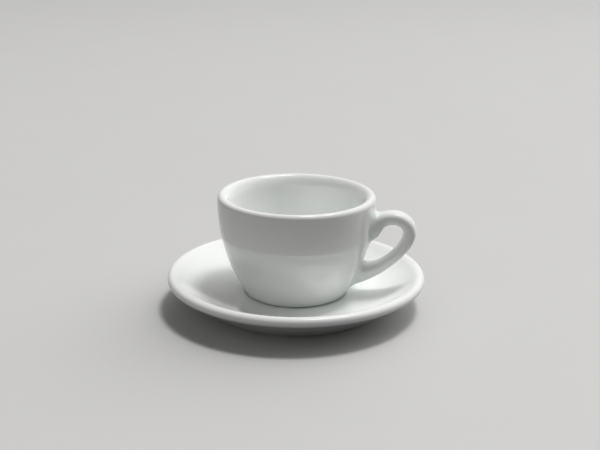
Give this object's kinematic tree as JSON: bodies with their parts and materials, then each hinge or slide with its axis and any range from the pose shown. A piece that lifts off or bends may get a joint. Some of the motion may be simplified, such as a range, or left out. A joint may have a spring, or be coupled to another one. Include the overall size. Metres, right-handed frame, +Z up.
{
  "type": "espresso cup with saucer",
  "caption": "Thick-walled glazed porcelain espresso cup with a small looped handle, standing in the shallow well of its round, flared saucer.",
  "frame": {"origin": "centre of the saucer's foot ring, on the surface that it stands on", "axes": "+Z up along the axis of the saucer and the cup, +X towards the handle"},
  "size_m": [0.132, 0.132, 0.0594],
  "materials": {
    "white_glaze": "clear glossy glaze over white porcelain, bare and matt on the lands of the feet"
  },
  "bodies": {
    "saucer": {"saucer": "white_glaze"},
    "cup": {"cup_bowl": "white_glaze", "cup_handle": "white_glaze"}
  },
  "joints": [
    {"name": "cup_lift", "type": "slide", "parent": "saucer", "child": "cup", "axis": [0, 0, 1], "range_m": [0, 0.06]}
  ]
}
